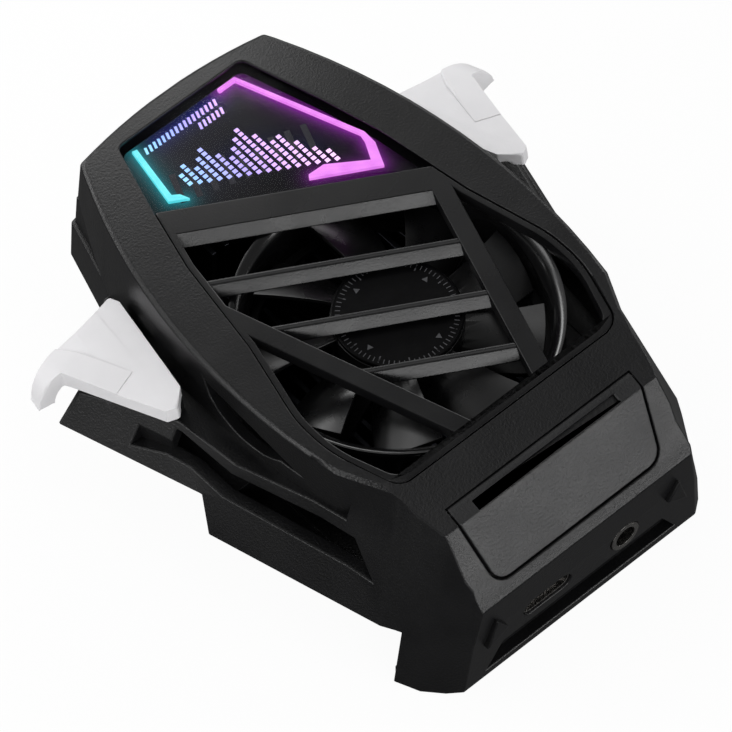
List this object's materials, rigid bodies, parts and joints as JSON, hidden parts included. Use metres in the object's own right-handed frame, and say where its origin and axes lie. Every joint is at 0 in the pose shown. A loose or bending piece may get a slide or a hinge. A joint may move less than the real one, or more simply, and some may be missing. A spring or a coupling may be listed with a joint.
{
  "type": "clip-on phone cooling fan",
  "caption": "Clip-on phone cooler: angular housing with a slatted fan grille, light window, side press paddles, kickstand and a sprung clamp, with ports in the foot.",
  "frame": {"origin": "centre of the cold plate's contact face, on the fan axis", "axes": "+Z along the fan axis, out through the grille; +Y towards the light window and the clamp; +X to the right seen from the grille side with the window up"},
  "size_m": [0.0884, 0.0934, 0.0342],
  "materials": {
    "shell_black": "fine spark-eroded texture",
    "grille_black": "satin moulding",
    "smoked_lens": "polished smoked acrylic",
    "light_guide": "clear acrylic with printed dots",
    "light_cyan": "lit diffuser",
    "light_magenta": "lit diffuser",
    "fan_black": "semi-gloss moulding",
    "hub_print": "printed label",
    "ferrite": "bonded ferrite",
    "copper_wire": "enamelled winding",
    "pin_steel": "ground steel",
    "bearing_brass": "sintered bronze",
    "sink_aluminium": "extruded, dark",
    "alumina": "fired alumina",
    "plate_aluminium": "brushed",
    "board_green": "solder mask",
    "connector_steel": "nickel plated",
    "pad_rubber": "silicone pad",
    "paddle_white": "satin white moulding",
    "switch_plastic": "moulded"
  },
  "bodies": {
    "base": {"front_shell": "shell_black", "base_shell": "shell_black", "grille": "grille_black", "rear_cover": "shell_black", "leg_cover": "shell_black", "port_plate": "grille_black", "window_lens": "smoked_lens", "display_plate": "light_guide", "light_strip_left": "light_cyan", "light_strip_right": "light_magenta", "fan_frame": "fan_black", "fan_shroud": "fan_black", "motor_stator": "copper_wire", "sleeve_bearing": "bearing_brass", "heatsink": "sink_aluminium", "thermo_module": "alumina", "cold_plate": "plate_aluminium", "main_board": "board_green", "usb_receptacle": "connector_steel", "audio_jack": "connector_steel", "phone_plug": "connector_steel", "leg_pad": "pad_rubber", "kickstand_pin": "pin_steel", "paddle_pin_left": "pin_steel", "paddle_pin_right": "pin_steel", "paddle_switches": "switch_plastic", "rear_strips": "pad_rubber", "cover_screws": "pin_steel"},
    "rotor": {"fan_rotor": "fan_black", "hub_cap": "hub_print", "rotor_magnet": "ferrite", "motor_shaft": "pin_steel"},
    "kickstand": {"kickstand": "shell_black"},
    "paddle_left": {"paddle_left": "paddle_white"},
    "paddle_right": {"paddle_right": "paddle_white"},
    "clamp": {"clamp_slider": "shell_black", "clamp_pad": "pad_rubber", "guide_rods": "pin_steel"}
  },
  "joints": [
    {"name": "fan_spin", "type": "hinge", "parent": "base", "child": "rotor", "pos_m": [0, 0, 0.0145], "axis": [0, 0, 1], "continuous": true},
    {"name": "kickstand_turn", "type": "hinge", "parent": "base", "child": "kickstand", "pos_m": [0, -0.0299, 0.01864], "axis": [-1, 0, 0], "range_deg": [0, 75]},
    {"name": "paddle_right_press", "type": "hinge", "parent": "base", "child": "paddle_right", "pos_m": [0.0284, 0.0225, 0.0134], "axis": [-0.2351, 0.9543, -0.1845], "range_deg": [0, 4], "stiffness_Nm_per_rad": 0.05},
    {"name": "paddle_left_press", "type": "hinge", "parent": "base", "child": "paddle_left", "pos_m": [-0.0284, 0.0225, 0.0134], "axis": [-0.2351, -0.9543, 0.1845], "range_deg": [0, 4], "stiffness_Nm_per_rad": 0.05},
    {"name": "clamp_slide", "type": "slide", "parent": "base", "child": "clamp", "axis": [0, 1, 0], "range_m": [0, 0.01], "stiffness_N_per_m": 300}
  ]
}
